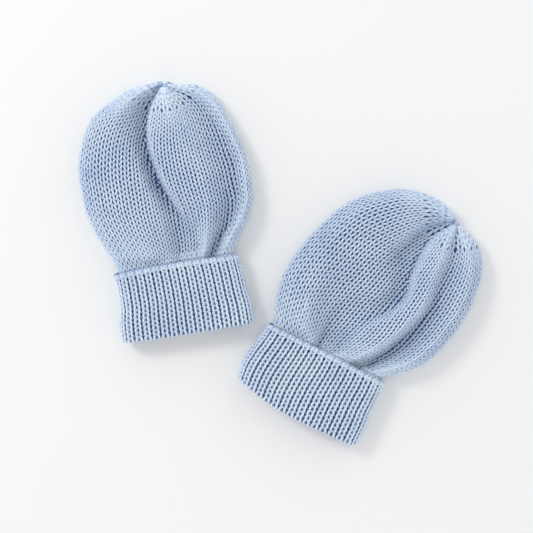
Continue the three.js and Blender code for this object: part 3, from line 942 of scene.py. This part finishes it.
# %% Knit the two hands
HAND_COLUMNS = 257
HAND_ROWS = 161
STOCKING = {
    "Sway": 0.24,
    "Loop height": 0.85,
    "Loop depth": LOOP_DEPTH * MM,
    "Rib": 0.0,
    "Rib lift": 0.0,
    "Inset": FABRIC_DEPTH * MM,
    "Yarn radius": YARN_RADIUS * MM,
    "Points in a stitch": 12,
    "Sides of the yarn": 5,
    "Unevenness": 0.5 * MM,
    "Yarn": hand_yarn,
}
CROWN = {"Yarn radius": 0.72 * MM, "Unevenness": 0.3 * MM}
TIP = {
    "Yarn radius": 0.8 * MM,
    "Unevenness": 0.1 * MM,
    "Sway": 0.16,
    "Points in a stitch": 16,
    "Sides of the yarn": 8,
    "Yarn": tip_yarn,
}
STRING_BENDS = 7
STRING_TURNS = 3
TIP_HEIGHT = 4.0
HAND_GROUND_STEP = 5
DRAWSTRING = {
    "Yarn radius": 0.6 * MM,
    "Sway": 0.04,
    "Loop height": 0.0,
    "Loop depth": 0.1 * MM,
    "Inset": 0.9 * MM,
    "Unevenness": 0.1 * MM,
    "Yarn": tip_yarn,
}


def along_hand(at):
    return (at - HAND_START) / (POUCH_END - HAND_START)


def knit_hand(mitten, seed):
    name = mitten["name"]
    places = np.linspace(HAND_START, POUCH_END, HAND_ROWS)
    grid = pouch_grid(mitten, places, HAND_COLUMNS)
    lengths = np.array(mitten["round_lengths"])
    print(f"{name} hand: widest round {lengths.sum(axis=1).max():.1f} mm")
    over, under = lengths.mean(axis=0)
    print(f"a round on average: {over:.1f} mm over the top, {under:.1f} mm underneath")
    paths = np.linalg.norm(np.diff(grid, axis=0), axis=2).sum(axis=0)
    print(f"wales {paths.min():.1f} to {paths.max():.1f} mm, mean {paths.mean():.1f}")
    form = make_form(f"{name}_hand_form", mitten, grid)
    first = HAND_ROUNDS // 2
    middle = mix(HAND_START, CROWN_START, first / HAND_ROUNDS)
    steps = [
        ("palm", HAND_STITCHES, first, HAND_START, middle, {}),
        ("fingers", HAND_STITCHES, HAND_ROUNDS - first, middle, CROWN_START, {}),
        ("crown", HAND_STITCHES // 2, CROWN_ROUNDS, CROWN_START, TIP_START, CROWN),
        ("tip", HAND_STITCHES // 4, TIP_ROUNDS, TIP_START, TIP_END, TIP),
        ("drawstring", STRING_BENDS, STRING_TURNS, TIP_END, STRING_END, DRAWSTRING),
    ]
    for k, (part, stitches, rounds, start, end, special) in enumerate(steps):
        sizes = {
            **STOCKING,
            **special,
            "Stitches in a round": float(stitches),
            "Rounds": float(rounds),
            "Start": along_hand(start),
            "End": along_hand(end),
            "Seed": seed + k,
        }
        knit(f"{name}_hand_{part}", form, "stocking_stitch", **sizes)
    coarse = coarser(grid, HAND_GROUND_STEP)
    pole = (*mitten["gather"], TIP_HEIGHT)
    ground = closed_wall(f"{name}_hand_ground", mitten, coarse, FABRIC_DEPTH, pole)
    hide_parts(f"{name}_hand")
    bpy.data.objects.remove(form)


knit_hand(LEFT, 1.0)
knit_hand(RIGHT, 11.0)

# %% [markdown]
# The cuff is one tube of 1x1 rib. Its outer layer and its fold show, so they get the
# full count of points. The lining is hidden inside and is knitted more simply. The free
# edge is bound off: one thicker round of slanting loops that holds the last stitches.

# %% Knit the two cuffs
CUFF_COLUMNS = 257
CUFF_ROWS = 121
CUFF_DEPTH = 0.25
CUFF_GROUND_STEP = 4
# places along the tube, 0 at the lining's top and 1 at the free edge
LINING_START = 0.005
OUTSIDE_END = 0.975
EDGE_START = 0.972
EDGE_END = 0.984
RIBBING = {
    "Sway": 0.21,
    "Loop height": 0.95,
    "Loop depth": 0.34 * MM,
    "Rib": 1.0,
    "Rib squeeze": 1.0,
    "Rib lift": 0.8 * MM,
    "Inset": CUFF_DEPTH * MM,
    "Yarn radius": 0.49 * MM,
    "Points in a stitch": 12,
    "Sides of the yarn": 5,
    "Unevenness": 0.5 * MM,
    "Yarn": rib_yarn,
}
LINING = {
    "Points in a stitch": 6,
    "Sides of the yarn": 4,
    "Yarn radius": 0.45 * MM,
    "Rib lift": 0.25 * MM,
    "Loop depth": 0.2 * MM,
}
BOUND_EDGE = {
    "Sway": 0.3,
    "Loop height": 1.2,
    "Loop depth": 0.3 * MM,
    "Rib": 0.4,
    "Rib lift": 0.6 * MM,
    "Inset": 0.0,
    "Yarn radius": 0.62 * MM,
}


def knit_cuff(mitten, seed):
    name = mitten["name"]
    grid = cuff_grid(mitten, CUFF_ROWS, CUFF_COLUMNS)
    form = make_form(f"{name}_cuff_form", mitten, grid)
    fold = mitten["fold_share"]
    print(f"{name} cuff: {mitten['cuff_length']:.1f} mm long, fold at {fold:.3f}")
    steps = [
        ("outside", CUFF_ROUNDS, fold, OUTSIDE_END, {}),
        ("lining", LINING_ROUNDS, LINING_START, fold, LINING),
        ("edge", 1, EDGE_START, EDGE_END, BOUND_EDGE),
    ]
    for k, (part, rounds, start, end, special) in enumerate(steps):
        sizes = {
            **RIBBING,
            **special,
            "Stitches in a round": float(CUFF_STITCHES),
            "Rounds": float(rounds),
            "Start": start,
            "End": end,
            "Seed": seed + k,
        }
        knit(f"{name}_cuff_{part}", form, "rib_knit", **sizes)
    coarse = coarser(grid, CUFF_GROUND_STEP)
    ground = closed_wall(f"{name}_cuff_ground", mitten, coarse, CUFF_DEPTH)
    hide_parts(f"{name}_cuff")
    bpy.data.objects.remove(form)


knit_cuff(LEFT, 21.0)
knit_cuff(RIGHT, 31.0)

# %% [markdown]
# The pair lies on a plain white table, marked as a backdrop and left out of the sizes.

# %% The table
TABLE_HALF = 3.0
TABLE_WHITE = (0.93, 0.93, 0.93, 1)


def make_table():
    mesh = bpy.data.meshes.new("table")
    half = TABLE_HALF
    corners = [(-half, -half, 0), (half, -half, 0), (half, half, 0), (-half, half, 0)]
    mesh.from_pydata(corners, [], [(0, 1, 2, 3)])
    material, _, shader = new_material("white table", roughness=0.9, shine=0.5)
    shader.inputs["Base Color"].default_value = TABLE_WHITE
    mesh.materials.append(material)
    in_scene("table", mesh)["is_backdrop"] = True


make_table()
print(f"table: {2 * TABLE_HALF:.0f} m square")

# %% [markdown]
# Most of the light comes from a tent that is brightest near the horizon, so that it falls
# into the folds from their sides. A window at the upper left and a light at the ceiling
# give it a little direction. Each is a disk that is turned to the middle of the pair.

# %% The light
ZENITH = 0.5
HORIZON = 2.0
FALLOFF = 2.0


def soft_light(name, where, size, power):
    data = bpy.data.lights.new(name, "AREA")
    data.shape = "DISK"
    data.size = size
    data.energy = power
    light = in_scene(name, data)
    light.location = where
    tilt = math.atan2(math.hypot(where[0], where[1]), where[2])
    light.rotation_euler = (0.0, tilt, math.atan2(where[1], where[0]))


def light_tent():
    world = bpy.data.worlds.new("light tent")
    world.use_nodes = True
    tree = world.node_tree
    _, _, upward = split(tree, add_node(tree, "ShaderNodeTexCoord", output="Generated"))
    side = 1 - upward.size()
    glow = ZENITH + (HORIZON - ZENITH) * side.power(FALLOFF)
    tree.links.new(glow.socket, tree.nodes["Background"].inputs["Strength"])
    tree.nodes["Background"].inputs["Color"].default_value = (1.0, 1.0, 1.0, 1.0)
    bpy.context.scene.world = world


soft_light("window", where=(-0.75, 0.55, 0.85), size=0.35, power=4.0)
soft_light("ceiling", where=(0.0, 0.0, 1.8), size=0.8, power=3.0)
light_tent()
bpy.context.scene.view_settings.view_transform = "Standard"
print("lights:", len(bpy.data.lights), "and the tent round them")

# %% [markdown]
# The camera looks straight down, as in the photograph. It stands as far off as its lens
# and the width of the picture ask for, measured from the height where the outlines lie.

# %% The camera
PICTURE_WIDTH = 239.85 * MM
PICTURE_CENTRE = (-6.43 * MM, -1.14 * MM)
LENS = 100.0
SENSOR = 36.0
OUTLINE_HEIGHT = 5.0 * MM

camera_data = bpy.data.cameras.new("camera")
camera_data.lens = LENS
camera_data.sensor_width = SENSOR
camera = in_scene("camera", camera_data)
distance = PICTURE_WIDTH / SENSOR * LENS
camera.location = (*PICTURE_CENTRE, OUTLINE_HEIGHT + distance)
bpy.context.scene.camera = camera
print(f"camera {distance:.3f} m above the mittens")

# %% [markdown]
# The knitting should fill the same box as the four solids that it stands for. Both boxes
# are written down side by side, so that anyone can compare them.

# %% Sizes and the end
visual_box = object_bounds()


for label, (low, high) in (("solids", cad_box), ("knitting", visual_box)):
    print(label, [round((b - a) / MM, 1) for a, b in zip(low, high)], "mm")
